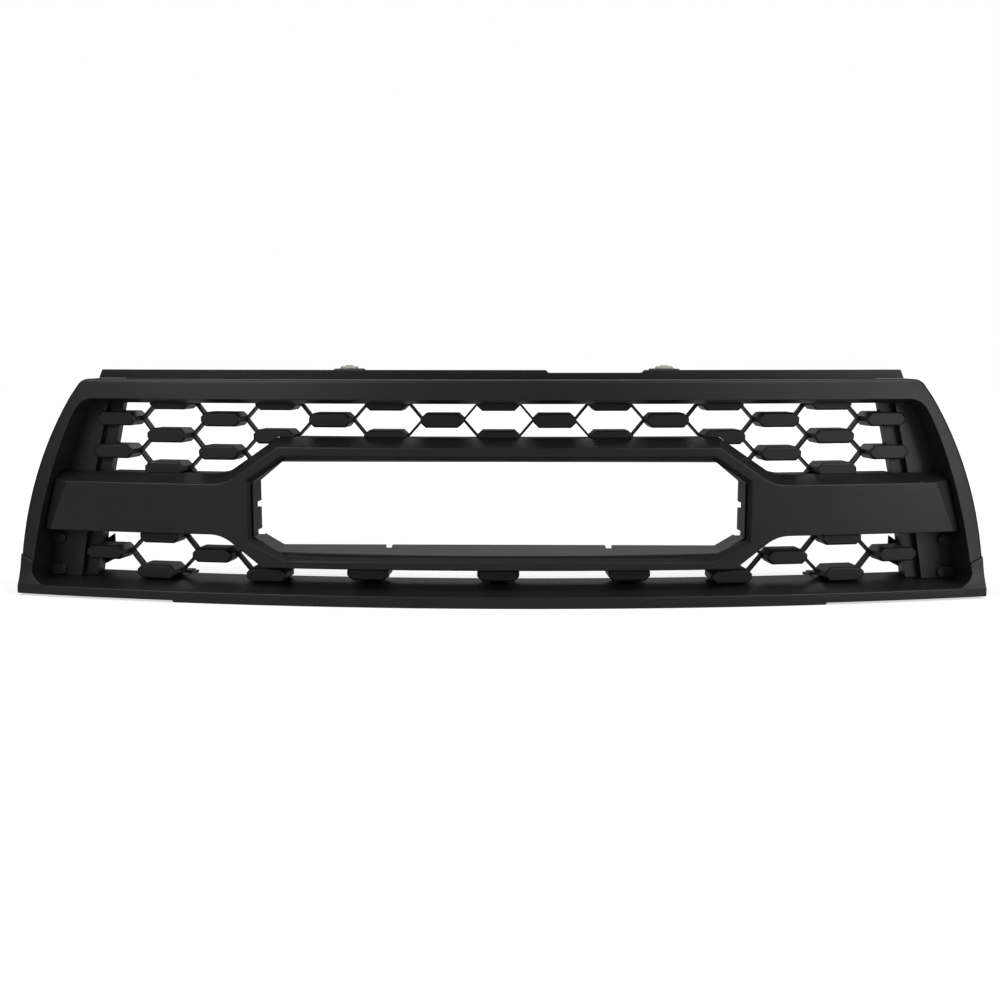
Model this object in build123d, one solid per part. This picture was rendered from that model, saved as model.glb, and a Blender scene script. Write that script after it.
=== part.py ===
from build123d import *
import os
from math import asin, atan2, ceil, degrees, hypot, radians, sqrt, tan

# Front grille of an off-road vehicle, in millimetres.
# The face frame used below has X across the vehicle, -Y towards the road ahead and +Z up.
# Its zero is the centre of the emblem opening, at the front face of the ring around it.
# Every face is swept back towards the ends along one large radius. When the nodes are written,
# all pieces move so that the origin lies midway between the two top fixing slots.

# ---- Driving dimensions: surround ----
SWEEP_RADIUS = 2000.0        # plan radius of the front face
HALF_WIDTH = 475.4           # half of the overall width, at the foot
TOP_Z = 112.0                # top of the surround
FOOT_Z = -98.6               # lower edge of the sill
WALL = 3.0                   # wall of the mouldings
CLEARANCE = 0.3              # gap between neighbouring mouldings
RAKE = 0.0875                # backward lean of the surround face
FACE_Y = -4.0                # surround face at Z = 0
FACE_ROUND = 4.0             # rounded outer edge of that face
CHEEK_DRAFT = 13.0           # slope of the legs' inner walls, in degrees
LEG_BACK_Y = 37.7            # rear edge of the surround legs
LEG_WIDTH = 11.6             # leg, at its foot
LEG_SWELL = 4.2              # how much wider it is halfway up
SIDE_LEAN = 57.1             # how far the outer edge leans in, foot to shoulder
SIDE_BULGE = 13.0            # outward bulge of the sides
SIDE_BULGE_GAIN = 4.0        # how much more of it the top has
SHOULDER_DROP = 16.0         # shoulder below the top of the surround
SHOULDER_LEAN = 0.75         # how far the shoulder leans in, per mm of its height
SHOULDER_INSET = 11.5        # inner top corner inside the outer shoulder
SHOULDER_STRAIGHT = 24.0     # straight end of the mouth's sides
OUTER_CORNER = 14.0          # rounded top corners, outside
INNER_CORNER = 22.0          # and inside
TOP_BAR_HEIGHT = 19.0        # top bar of the surround
UNDERSIDE_Y = 21.0           # rear edge of the top bar's underside
UNDERSIDE_DROP = 4.4         # how far that underside falls towards the rear
SEAM_Z = -60.0               # parting line between arch and sill, at its outer end
SEAM_FALL = 6.0              # how far that line falls towards its inner end

# ---- Sill ----
SILL_FRONT_Y = -18.0         # lip of the sill
LIP_HEIGHT = 9.1
SHELF_CREASE_Y = 7.0
SHELF_CREASE_RISE = 11.2     # crease of the shelf above the foot
SHELF_BACK_Y = 48.0
SHELF_BACK_RISE = 15.1
SKIRT_DROP = 1.9             # central skirt below the foot
SKIRT_HALF = 312.0
CORNER_PROUD = 1.5           # lower corners in front of the legs
CORNER_RADIUS = 20.0         # where the ridge turns up into the leg
SILL_RIB_XS = (62.0, 190.0, 262.0, 400.0)
SILL_RIB = 2.0
CLIP_TAB_XS = (126.0, 330.0)
CLIP_TAB_WIDTH = 24.0
CLIP_TAB_LENGTH = 16.0

# ---- Top rail and retainers ----
RAIL_Y = 28.0                # front of the top rail
RAIL_THICKNESS = 3.0
RAIL_RISE = 8.8              # flange above the surround
RAIL_SINK = 3.3              # rail's foot above the mouth
RAIL_END_INSET = 10.4        # rail end inside the surround's top corner
RAIL_END_SLOPE = 0.39
RAIL_CORNER = 2.6
LEDGE_RISE = 5.5             # mounting ledge above the surround
LEDGE_THICKNESS = 2.5
LEDGE_BACK_Y = 74.0
LEDGE_END_INSET = 12.0
NOTCH_LEFT = 48.0            # relief in the flange
NOTCH_RIGHT = 136.0
NOTCH_DEPTH = 2.8
NOTCH_SLOPE = 4.0
TAB_XS = (-151.0, 166.0)     # push retainers
TAB_WIDTH = 27.0
TAB_DEPTH = 22.0
TAB_RISE = 4.2               # tab above the ledge
RETAINER_Y = 58.0
HOLE_RADIUS = 4.1
HEAD_RADIUS = 8.7
HEAD_HEIGHT = 2.3
HEAD_ROUND = 1.8
SHANK_RADIUS = 3.5           # shank below its neck
SHANK_LENGTH = 15.0
SPLIT = 1.2                  # slits that let the shank spread
SPLIT_START = 8.5            # their upper ends below the ledge
PIN_RADIUS = 2.0
PIN_CAP_RADIUS = 3.6
PIN_CAP = 1.0
PIN_CAP_ROUND = 0.5
PIN_TRAVEL = 6.0             # how far a pin is pulled up to let its retainer go
RUNNING_GAP = 0.05           # radial clearance of pins and screws
SLOT_X = 330.0               # top fixing slots
SLOT_Y = 82.0
SLOT_WIDTH = 7.0
SLOT_LENGTH = 12.0
SLOT_LAND = 4.0              # ledge left behind a slot

# ---- Centre bar and liner ----
BAR_TOP_Z = 20.0             # crossbar, at its widest behind the face
BAR_BOTTOM_Z = -39.5
BAR_DEPTH = 47.0
BAR_END_GAP = 3.0            # from the surround's inner edge
RING_TOP_Z = 56.3            # ring around the emblem opening, at its widest
RING_BOTTOM_Z = -70.8
RING_HALF = 212.0            # half length of the ring's top edge
RING_FOOT_GAIN = 15.0        # how much longer its bottom edge is
SHOULDER_ANGLE = 34.5        # slope of the ring's shoulders
HAUNCH_ANGLE = 38.0          # slope of the ring's lower corners
BLEND_RADIUS = 32.0          # concave blend from ring to crossbar
FLARE_IN = 8.0               # flared upper walls
FLARE_DEEP = 20.0
LOWER_FLARE_IN = 3.0
END_BEVEL_IN = 11.0          # sloping ends of the crossbar
END_BEVEL_DEEP = 6.5
OPENING_HALF = 240.7         # emblem opening at the face
OPENING_TOP_Z = 40.5
OPENING_BOTTOM_Z = -60.8
OPENING_CORNER_X = 34.7      # its cut corners
OPENING_CORNER_TOP = 26.5
OPENING_CORNER_BOTTOM = 20.3
LIP_BEVEL_IN = 4.5           # bevel inside the opening
LIP_BEVEL_DEEP = 7.0
LINER_HALF = 232.5           # rear rim of the liner
LINER_TOP_Z = 31.5
LINER_BOTTOM_Z = -50.0
LINER_CORNER_X = 21.5
LINER_CORNER_TOP = 18.0
LINER_CORNER_BOTTOM = 13.0
LINER_FRONT_Y = 8.0
LINER_BACK_Y = 44.0
LINER_DRAFT = 7.6            # degrees
LINER_WALL = 2.5
LINER_FLANGE = 2.5
LINER_FLANGE_REACH = 25.0
LINER_FLANGE_INSET = 4.6     # flange inside the ring's outer edge
LINER_BOSS_RADIUS = 4.4
LINER_NOTCH_X = 107.4        # emblem clip notches in the rear rim
LINER_NOTCH_Z = -9.5
LINER_NOTCH_WIDTH = 6.0
LINER_NOTCH_DEPTH = 9.0

# ---- Lattice ----
PITCH = 110.5                # pads in a row, at Z = 0
PITCH_FAN = 0.03             # how much the pitch narrows per mm of height
ROW_SINK = 4.0               # highest row below the top of the mouth
ROW_PITCH = 16.2
PAD_WIDTH = 40.6             # over its two tips
PAD_HEIGHT = 14.0
PAD_TIP = 4.6                # flat of a tip
PAD_CUT = 5.0                # 45 degree corner cuts
PAD_FRONT_Y = 20.0
PAD_LEAN = 0.05
PAD_DEPTH = 25.0
PAD_BEVEL = 1.5
PAD_WALL = 1.8
STRIP_BEHIND = 1.0           # top strip of the lattice behind its pads
WEB_THICKNESS = 2.0
WEB_DEPTH = 10.0
LOWER_ROW_SINK = 3.0         # highest lower row below the crossbar
LOWER_ROW_PITCH = 17.8
SPACER_PITCH = 126.0         # blocks between ring and sill
SPACER_SINK = 3.5            # their middle below the ring
SPACER_FOOT_WIDTH = 16.0
SPACER_FOOT_DEPTH = 12.0
SPACER_SCREW_Y = 40.0
SPACER_BOSS_RADIUS = 4.0
SPACER_BOSS_HEIGHT = 10.0

# ---- End panels and braces ----
PANEL_Y = 24.0               # face of the end panels at Z = 0; it leans as the pads do
PANEL_THICKNESS = 3.0
PANEL_STEP_Y = 30.0          # their recessed inner strip
STRIP_WIDTH = 15.0
RETURN_WALL = 2.5
RETURN_BACK_Y = 46.0
BOUNDARY_TOP_INSET = 108.0   # where the lattice ends, inside the overall half width
BOUNDARY_MID_INSET = 87.4
BOUNDARY_FOOT_INSET = 68.0
STUB_INSET = 38.4            # inner ends of the stub pads
STUB_HEIGHT = 10.2
STUB_PROUD = 3.0
STUB_END = 6.0                # from their lower outer corners to the leg
STUB_CORNER = 3.0
STUB_DROP = 3.0              # upper stub below the crossbar
STUB_RISE = 2.6              # lower stub above the shelf's crease
LOCATOR_Z = 20.0
LOCATOR_INSET = 22.0
LOCATOR_RADIUS = 3.0
LOCATOR_LENGTH = 14.0
LOCATOR_SEAT = 4.4           # radius of its flat shoulder
LOCATOR_SEAT_RISE = 2.0
BRACE_INSET = 8.0
BRACE_WIDTH = 26.0
BRACE_THICKNESS = 3.0
BRACE_SCREW_INSET = 18.0

# ---- Fasteners ----
SCREW_RADIUS = 2.0
SCREW_HEAD_RADIUS = 4.5
SCREW_HEAD = 2.5
SOCKET_RADIUS = 1.6
SOCKET_DEPTH = 1.2
BOSS_RADIUS = 5.0
COLUMN_PITCH = 76.0          # screw columns of rail and lattice
END_SCREW_INSET = 22.4       # last rail screw inside the lattice's end
TONGUE_WIDTH = 14.0          # lattice tongues behind the rail
TONGUE_HEIGHT = 19.0
TONGUE_GAP = 0.5             # from the rail to the tongues
RAIL_SCREW_LENGTH = 16.0
MESH_SCREW_LENGTH = 20.0
PANEL_SCREW_LENGTH = 20.0
LINER_SCREW_LENGTH = 12.0
BRACE_SCREW_LENGTH = 12.0
SPACER_SCREW_LENGTH = 24.0
SEAT_RISE = 9.5              # screw seats of an end panel behind its face
CLIP_WIDTH = 15.0            # spring clips on the sill's tabs
CLIP_LENGTH = 12.0
CLIP_SHEET = 0.8
CLIP_GAP = 0.15
CLIP_BARB_ANGLE = 28.0

FAR = 500.0                  # reach of cutting solids, beyond the grille

# ---- Levels that follow from them ----
SHOULDER_X = HALF_WIDTH - SIDE_LEAN
SHOULDER_Z = TOP_Z - SHOULDER_DROP
TOP_CORNER_X = SHOULDER_X - SHOULDER_DROP * SHOULDER_LEAN
MOUTH_TOP_Z = TOP_Z - TOP_BAR_HEIGHT
RAIL_FOOT_Z = MOUTH_TOP_Z + RAIL_SINK
RAIL_TOP_Z = TOP_Z + RAIL_RISE
RAIL_BACK_Y = RAIL_Y + CLEARANCE + RAIL_THICKNESS
LEDGE_Z = TOP_Z + LEDGE_RISE
TAB_TOP_Z = LEDGE_Z + TAB_RISE
GRIP = TAB_RISE + LEDGE_THICKNESS      # what a retainer's shank passes through
RIDGE_Z = FOOT_Z + LIP_HEIGHT
CREASE_Z = FOOT_Z + SHELF_CREASE_RISE
SHELF_BACK_Z = FOOT_Z + SHELF_BACK_RISE
SEAM_FOOT_Z = SEAM_Z - SEAM_FALL - 1.0
ROW_TOP_Z = MOUTH_TOP_Z - ROW_SINK
LOWER_ROW_Z = BAR_BOTTOM_Z - LOWER_ROW_SINK
SPACER_Z = RING_BOTTOM_Z - SPACER_SINK
SPACER_BOSS_Z = RING_BOTTOM_Z + 6.0
PANEL_TOP_Z = MOUTH_TOP_Z + WALL
SWEEP_AXIS = Axis((0, SWEEP_RADIUS, 0), (0, 0, 1))


# ---- Helpers ----
def bow(x, front=0.0):
    """How far a face that starts at `front` has swept back at X."""
    radius = SWEEP_RADIUS - front
    return radius - sqrt(radius * radius - x * x)


def face_y(x, depth):
    """Y of a swept face at X, from its depth behind the ring face at X = 0."""
    return depth + bow(x, depth)


def swept(points):
    """Solid with a closed (Y, Z) section, carried along the sweep."""
    section = Plane.YZ * make_face(Polyline(*points, close=True))
    half_turn = degrees(asin(min(0.9, (HALF_WIDTH + 5 * WALL) / (SWEEP_RADIUS - LEDGE_BACK_Y))))
    return revolve(section.rotate(SWEEP_AXIS, -half_turn), SWEEP_AXIS, 2 * half_turn)


def slab(front, back, rake=0.0, low=-FAR / 3, high=FAR / 2):
    """Swept layer between two depths; only its front leans."""
    return swept([(front + rake * low, low), (back, low), (back, high), (front + rake * high, high)])


def prism(face):
    """Front view outline, carried through the whole depth."""
    return extrude(Plane.XZ * face, FAR, both=True)


def polygon(*points):
    return make_face(Polyline(*points, close=True))


def mirrored(points):
    """Right half of an outline, completed with its left half."""
    return list(points) + [(-x, z) for x, z in reversed(points)]


def symmetric(*points):
    """Prism of a symmetric outline."""
    return prism(polygon(*mirrored(points)))


def rounded(face, x, z, radius):
    """Rounds the outline's corner nearest (x, z)."""
    near = min(face.vertices(), key=lambda v: hypot(v.X - x, v.Y - z))
    return fillet(near, radius)


def rod(x, y, z, radius, length):
    """Round bar along +Y from y."""
    return Pos(x, y + length / 2, z) * Rot(90, 0, 0) * Cylinder(radius, length)


def both_sides(piece):
    return [piece, mirror(piece, Plane.YZ)]


def along(x, piece, depth=0.0):
    """Carries a piece modelled at X = 0 along the sweep, so that it stands at X at that depth."""
    return piece.rotate(SWEEP_AXIS, degrees(asin(x / (SWEEP_RADIUS - depth))))


def between(low, high, steps):
    return [low + (high - low) * i / steps for i in range(steps + 1)]


def leaning(front, back, low=-FAR / 3, high=FAR / 2):
    """Swept layer whose two faces lean as the pads do."""
    return swept([(front + PAD_LEAN * low, low), (back + PAD_LEAN * low, low),
                  (back + PAD_LEAN * high, high), (front + PAD_LEAN * high, high)])


def foremost(solid):
    """The solid's front face."""
    return min(solid.faces(), key=lambda face: face.center().Y)


def save(name, *pieces):
    """Writes one node, in the frame whose origin lies between the top fixing slots."""
    moved = [Pos(0, -SLOT_Y, -LEDGE_Z) * solid for piece in pieces for solid in piece.solids()]
    export_step(Compound(moved) if len(moved) > 1 else moved[0], f"parts/{name}.step")


# ---- Outlines in front view ----
def outer_edge(z):
    """X of the surround's outer edge: a leaning line with an outward bulge."""
    share = (z - FOOT_Z) / (SHOULDER_Z - FOOT_Z)
    bulge = SIDE_BULGE + SIDE_BULGE_GAIN * share
    return HALF_WIDTH - SIDE_LEAN * share + 4 * bulge * share * (1 - share)


def inner_edge(z):
    """X of the surround's inner edge."""
    share = (z - FOOT_Z) / (SHOULDER_Z - FOOT_Z)
    return outer_edge(z) - LEG_WIDTH - 4 * LEG_SWELL * share * (1 - share)


def leg_middle(z):
    """Middle of the leg's hollow."""
    return (outer_edge(z) + inner_edge(z)) / 2 - 1.0


def side_outline(edge, grow, low, high, corner_x, corner_z, corner_radius):
    """Symmetric outline with curved sides, straight shoulders and two rounded top corners."""
    right = [(edge(z) + grow, z) for z in between(low, high, 4)]
    left = [(-x, z) for x, z in reversed(right)]
    top = Polyline(right[-1], (corner_x, corner_z), (-corner_x, corner_z), left[0])
    sides = [Spline(*right).edge(), Spline(*left).edge()]
    face = make_face([*sides, *top.edges(), Line(left[-1], right[0]).edge()])
    for side in (1, -1):
        face = rounded(face, side * corner_x, corner_z, corner_radius)
    return face


def surround_outline(grow=0.0):
    """Whole outer outline, foot to foot."""
    return side_outline(outer_edge, grow, FOOT_Z - grow, SHOULDER_Z,
                        TOP_CORNER_X + grow, TOP_Z + grow, OUTER_CORNER + grow)


def mouth_outline(shrink=0.0):
    """Opening inside the surround, from below the foot to the top bar."""
    return side_outline(inner_edge, -shrink, FOOT_Z - 2 * OUTER_CORNER, SHOULDER_Z - SHOULDER_STRAIGHT,
                        SHOULDER_X - SHOULDER_INSET - shrink, MOUTH_TOP_Z - shrink, INNER_CORNER - shrink)


BAR_END_TOP = inner_edge(BAR_TOP_Z) - BAR_END_GAP
BAR_END_BOTTOM = inner_edge(BAR_BOTTOM_Z) - BAR_END_GAP


def bar_outline(grow=0.0):
    """Crossbar and ring, at their widest behind the face."""
    top, bottom = BAR_TOP_Z + grow, BAR_BOTTOM_Z - grow
    ring_top, ring_bottom = RING_TOP_Z + grow, RING_BOTTOM_Z - grow
    ring_x = RING_HALF + grow * tan(radians(SHOULDER_ANGLE / 2))
    haunch_x = RING_HALF + RING_FOOT_GAIN + grow * tan(radians(HAUNCH_ANGLE / 2))
    shoulder_x = ring_x + (ring_top - top) / tan(radians(SHOULDER_ANGLE))
    foot_x = haunch_x + (bottom - ring_bottom) / tan(radians(HAUNCH_ANGLE))
    face = polygon(*mirrored([(ring_x, ring_top), (shoulder_x, top), (BAR_END_TOP + grow, top),
                              (BAR_END_BOTTOM + grow, bottom), (foot_x, bottom), (haunch_x, ring_bottom)]))
    for side in (1, -1):
        face = rounded(face, side * shoulder_x, top, BLEND_RADIUS - grow)
        face = rounded(face, side * foot_x, bottom, BLEND_RADIUS - grow)
    return face


def octagon(half, top, bottom, corner_x, corner_top, corner_bottom, grow=0.0):
    """Long opening with four cut corners."""
    return polygon(*mirrored([
        (half - corner_x + grow / 2, top + grow), (half + grow, top - corner_top),
        (half + grow, bottom + corner_bottom), (half - corner_x + grow / 2, bottom - grow)]))


def opening_outline(grow=0.0):
    return octagon(OPENING_HALF, OPENING_TOP_Z, OPENING_BOTTOM_Z, OPENING_CORNER_X,
                   OPENING_CORNER_TOP, OPENING_CORNER_BOTTOM, grow)


def liner_outline(grow=0.0):
    return octagon(LINER_HALF, LINER_TOP_Z, LINER_BOTTOM_Z, LINER_CORNER_X,
                   LINER_CORNER_TOP, LINER_CORNER_BOTTOM, grow)


def boundary(z):
    """X where the open lattice ends and an end panel begins."""
    if z > BAR_TOP_Z:
        share = (z - BAR_TOP_Z) / (TOP_Z - BAR_TOP_Z)
        return HALF_WIDTH - BOUNDARY_MID_INSET + (BOUNDARY_MID_INSET - BOUNDARY_TOP_INSET) * share
    share = (BAR_TOP_Z - z) / (BAR_TOP_Z - FOOT_Z)
    return HALF_WIDTH - BOUNDARY_MID_INSET + (BOUNDARY_MID_INSET - BOUNDARY_FOOT_INSET) * share


LATTICE_TOP_HALF = boundary(TOP_Z)


# ---- Fasteners: a place is (X, Z) ----
def pairs(xs, z):
    return [(side * x, z) for x in xs for side in (-1, 1)]


def screw(x, y, z, length):
    """Screw driven forwards, its head seated at depth y."""
    head = rod(x, y, z, SCREW_HEAD_RADIUS, SCREW_HEAD)
    socket = extrude(RegularPolygon(SOCKET_RADIUS, 6), SOCKET_DEPTH, both=True)
    head -= Pos(x, y + SCREW_HEAD, z) * Rot(90, 0, 0) * socket
    return head + rod(x, y - length, z, SCREW_RADIUS, length)


def screw_hole(x, y, z, length):
    return rod(x, y - length - 1, z, SCREW_RADIUS + RUNNING_GAP, length + 10)


def swept_screws(places, seat, length):
    """Screws square to the sweep, with their holes."""
    screws = [along(x, screw(0, seat + RUNNING_GAP, z, length)) for x, z in places]
    return screws, [along(x, screw_hole(0, seat, z, length)) for x, z in places]


def straight_screws(places, seat, length):
    """Screws driven straight forwards, each seat at its own swept depth."""
    spots = [(x, face_y(x, seat), z) for x, z in places]
    screws = [screw(x, y + RUNNING_GAP, z, length) for x, y, z in spots]
    return screws, [screw_hole(x, y, z, length) for x, y, z in spots]


def swept_bosses(places, front, back):
    return [along(x, rod(0, front, z, BOSS_RADIUS, back - front)) for x, z in places]


def straight_boss(x, z, front, back):
    """Boss along Y between two swept depths."""
    reach = back - front + 4 * BOSS_RADIUS
    return rod(x, face_y(x, front) - 2 * BOSS_RADIUS, z, BOSS_RADIUS, reach) & slab(front, back)


def drilled(piece, *hole_sets):
    return piece - [hole for holes in hole_sets for hole in holes]


BOSS_Z = (RAIL_FOOT_Z + TOP_Z - WALL) / 2
COLUMNS = [i * COLUMN_PITCH for i in range(20) if i * COLUMN_PITCH < LATTICE_TOP_HALF - 2 * END_SCREW_INSET]
RAIL_SCREW_PLACES = pairs(COLUMNS[1::2] + [LATTICE_TOP_HALF - END_SCREW_INSET], BOSS_Z)
MESH_SCREW_PLACES = [(0.0, BOSS_Z)] + pairs(COLUMNS[2::2], BOSS_Z)
BAR_SCREW_X = BAR_END_TOP - 26.0
BAR_SCREW_PLACES = pairs([BAR_SCREW_X], BAR_TOP_Z - 12.0) + pairs([BAR_SCREW_X], BAR_BOTTOM_Z + 13.5)
UPPER_SCREW_Z = TOP_Z - 50.0
MIDDLE_SCREW_Z = SEAM_Z + 40.0
SILL_SCREW_Z = SEAM_Z - 16.0
PANEL_SCREW_PLACES = [place for z in (UPPER_SCREW_Z, MIDDLE_SCREW_Z) for place in pairs([leg_middle(z)], z)]
SILL_SCREW_PLACES = pairs([leg_middle(SILL_SCREW_Z)], SILL_SCREW_Z)
PANEL_SEAT = PANEL_Y + SEAT_RISE
LINER_SCREW_PLACES = (pairs([OPENING_HALF - 150.7, OPENING_HALF - 60.7], RING_TOP_Z - 10.3)
                      + pairs([OPENING_HALF - 180.7, OPENING_HALF - 70.7], RING_BOTTOM_Z + 8.8)
                      + pairs([OPENING_HALF + 9.3], -12.0))
LINER_SEAT = LINER_BACK_Y + LINER_FLANGE
BRACE_X = boundary(SEAM_Z) - BRACE_INSET
BRACE_FRONT_Y = RETURN_BACK_Y + CLEARANCE
BRACE_SEAT = BRACE_FRONT_Y + BRACE_THICKNESS + 1.6
BRACE_SCREW_PLACES = [(BRACE_X + BRACE_SCREW_INSET, SEAM_Z - 7.0)]
MESH_SEAT = RAIL_BACK_Y + TONGUE_GAP + WALL
SPACER_XS = (-SPACER_PITCH, 0.0, SPACER_PITCH)

rail_screws, rail_holes = swept_screws(RAIL_SCREW_PLACES, RAIL_BACK_Y, RAIL_SCREW_LENGTH)
mesh_screws, mesh_holes = swept_screws(MESH_SCREW_PLACES, MESH_SEAT, MESH_SCREW_LENGTH)
bar_screws, bar_holes = straight_screws(BAR_SCREW_PLACES, PANEL_SEAT, PANEL_SCREW_LENGTH)
panel_screws, panel_holes = straight_screws(PANEL_SCREW_PLACES, PANEL_SEAT, PANEL_SCREW_LENGTH)
sill_screws, sill_holes = straight_screws(SILL_SCREW_PLACES, PANEL_SEAT, PANEL_SCREW_LENGTH)
brace_screws, brace_holes = straight_screws(BRACE_SCREW_PLACES, BRACE_SEAT, BRACE_SCREW_LENGTH)
liner_screws = [screw(x, LINER_SEAT + RUNNING_GAP, z, LINER_SCREW_LENGTH) for x, z in LINER_SCREW_PLACES]
liner_holes = [screw_hole(x, LINER_SEAT, z, LINER_SCREW_LENGTH) for x, z in LINER_SCREW_PLACES]


# ---- Surround arch ----
def leg_face_y(z):
    return FACE_Y + RAKE * z


def below_seam(drop=0.0):
    """Everything under the seams, whose inner ends fall."""
    slope = SEAM_FALL / LEG_WIDTH
    inner, outer = SHOULDER_X - SHOULDER_INSET, HALF_WIDTH + LEG_WIDTH
    seam_x = outer_edge(SEAM_Z)
    return symmetric((inner, SEAM_Z - slope * (seam_x - inner) - drop),
                     (outer, SEAM_Z + slope * (outer - seam_x) - drop), (outer, FOOT_Z - FAR / 10))


def soft_outside(body):
    """Rounds the outer edge of the surround's front face."""
    edges = []
    for edge in foremost(body).edges():
        middle = edge @ 0.5
        beside = abs(middle.X) > outer_edge(min(middle.Z, SHOULDER_Z)) - LEG_WIDTH / 2
        if middle.Z > FOOT_Z + 1 and (beside or middle.Z > TOP_Z - FACE_ROUND):
            edges.append(edge)
    return fillet(edges, FACE_ROUND)


shell_outer = prism(surround_outline())
shell_inner = prism(surround_outline(-WALL))
shell_cavity = shell_inner - prism(mouth_outline(-WALL))
boss_room = prism(surround_outline(-WALL / 2))
mouth = prism(mouth_outline())
before_panel = leaning(-FAR / 8, PANEL_Y - CLEARANCE)
cheek_y = face_y(inner_edge(0), FACE_Y)


def funnel(shrink=0.0):
    """Room inside the legs' sloping inner walls, which close in towards the rear."""
    front = Plane(origin=(0, cheek_y, 0), x_dir=(-1, 0, 0), z_dir=(0, 1, 0))
    return extrude(front * mouth_outline(shrink), PANEL_Y - FACE_Y + 4 * WALL, taper=CHEEK_DRAFT)


cheeks = (mouth & before_panel & slab(FACE_Y, FAR / 5, rake=RAKE)) - funnel() - prism(bar_outline(CLEARANCE))
cheeks -= symmetric((LATTICE_TOP_HALF, TOP_Z), (boundary(BAR_TOP_Z), BAR_TOP_Z), (boundary(FOOT_Z), 2 * FOOT_Z))
cheeks &= Pos(0, cheek_y + FAR / 2, 0) * Box(3 * FAR, FAR, 3 * FAR)

arch = soft_outside((shell_outer - mouth) & slab(FACE_Y, LEG_BACK_Y, rake=RAKE))
top_bar_y = leg_face_y(MOUTH_TOP_Z) + WALL / 2
underside = swept([(top_bar_y, MOUTH_TOP_Z), (UNDERSIDE_Y, MOUTH_TOP_Z - UNDERSIDE_DROP),
                   (UNDERSIDE_Y, MOUTH_TOP_Z + WALL), (top_bar_y, MOUTH_TOP_Z + WALL)])
arch += underside & prism(mouth_outline(-WALL)) & shell_inner
arch -= below_seam()
arch -= shell_cavity & slab(FACE_Y + WALL, FAR / 5, rake=RAKE) \
    & symmetric((HALF_WIDTH, TOP_Z), (HALF_WIDTH, SEAM_Z + SEAM_FALL + WALL))
behind_top_bar = swept([(UNDERSIDE_Y, 0), (UNDERSIDE_Y, RAIL_FOOT_Z), (RAIL_Y, RAIL_FOOT_Z),
                        (RAIL_Y, TOP_Z + FAR / 10), (FAR / 5, TOP_Z + FAR / 10), (FAR / 5, 0)])
arch -= behind_top_bar & symmetric((LATTICE_TOP_HALF, TOP_Z + FAR / 10), (LATTICE_TOP_HALF, 0))
arch -= shell_inner - before_panel - symmetric((LATTICE_TOP_HALF, TOP_Z + FAR / 10), (LATTICE_TOP_HALF, 0))
arch = arch.fuse(*(cheeks - below_seam()).solids())
arch_bosses = swept_bosses(RAIL_SCREW_PLACES + MESH_SCREW_PLACES, leg_face_y(BOSS_Z) + WALL / 2, RAIL_Y)
arch_bosses += [straight_boss(x, z, leg_face_y(z) + WALL / 2, LEG_BACK_Y) & before_panel for x, z in PANEL_SCREW_PLACES]
arch = arch.fuse(*[boss & boss_room for boss in arch_bosses])


# ---- Lower sill with its two corners ----
def corner_body(inset=0.0):
    """Depth section of the lower corners, whose front comes forward from the seam to the ridge."""
    seam_y = leg_face_y(SEAM_FOOT_Z) - CORNER_PROUD
    front = [(leg_face_y(TOP_Z) - CORNER_PROUD + inset, TOP_Z)]
    for share in between(0.0, 1.0, 6):
        y = seam_y + (SILL_FRONT_Y - seam_y) * share * share
        front.append((y + inset, SEAM_FOOT_Z + (RIDGE_Z - SEAM_FOOT_Z) * share))
    foot = FOOT_Z - FAR / 10
    return swept(front + [(SILL_FRONT_Y + inset, foot), (LEG_BACK_Y + 10 * inset, foot),
                          (LEG_BACK_Y + 10 * inset, TOP_Z)])


shelf_top = [(SILL_FRONT_Y, RIDGE_Z), (SHELF_CREASE_Y, CREASE_Z), (SHELF_BACK_Y, SHELF_BACK_Z)]
shelf_under = [(max(y, SILL_FRONT_Y + WALL), z - WALL) for y, z in reversed(shelf_top)]
shelf = swept([(SILL_FRONT_Y, FOOT_Z)] + shelf_top + shelf_under + [(SILL_FRONT_Y + WALL, FOOT_Z)])
skirt = slab(SILL_FRONT_Y, SILL_FRONT_Y + WALL, low=FOOT_Z - SKIRT_DROP, high=FOOT_Z + 1)
skirt &= symmetric((SKIRT_HALF, 0), (SKIRT_HALF, FOOT_Z - FAR / 10))


def over_shelf(gap):
    """Space above the shelf."""
    top = [(y, z + gap) for y, z in shelf_top[1:]]
    return swept([(-FAR / 8, CREASE_Z + gap)] + top + [(FAR / 5, SHELF_BACK_Z + gap), (FAR / 5, TOP_Z),
                                                       (-FAR / 8, TOP_Z)])


turn_x, turn_z = inner_edge(RIDGE_Z) - CORNER_RADIUS, RIDGE_Z + CORNER_RADIUS
turn = Pos(turn_x + CORNER_RADIUS / 2 + 1, 0, turn_z - CORNER_RADIUS / 2 - 1) \
    * Box(CORNER_RADIUS + 2, FAR, CORNER_RADIUS + 2)
turn -= Pos(turn_x, 0, turn_z) * Rot(90, 0, 0) * Cylinder(CORNER_RADIUS, 2 * FAR)
uprights = (shell_outer - mouth).fuse(*both_sides(turn)) & corner_body() & below_seam(CLEARANCE + 0.1)
uprights -= shell_cavity & corner_body(WALL) & below_seam(WALL + SEAM_FALL) & over_shelf(0)
uprights -= shell_inner & over_shelf(0) - before_panel
uprights = uprights + (cheeks & below_seam(CLEARANCE + 0.1) & over_shelf(-1.0))
sill = (shelf & shell_outer) + skirt + uprights
sill_bosses = [straight_boss(x, z, leg_face_y(z) + WALL / 2, LEG_BACK_Y) for x, z in SILL_SCREW_PLACES]
sill = sill.fuse(*[boss & boss_room & before_panel for boss in sill_bosses])
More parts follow.
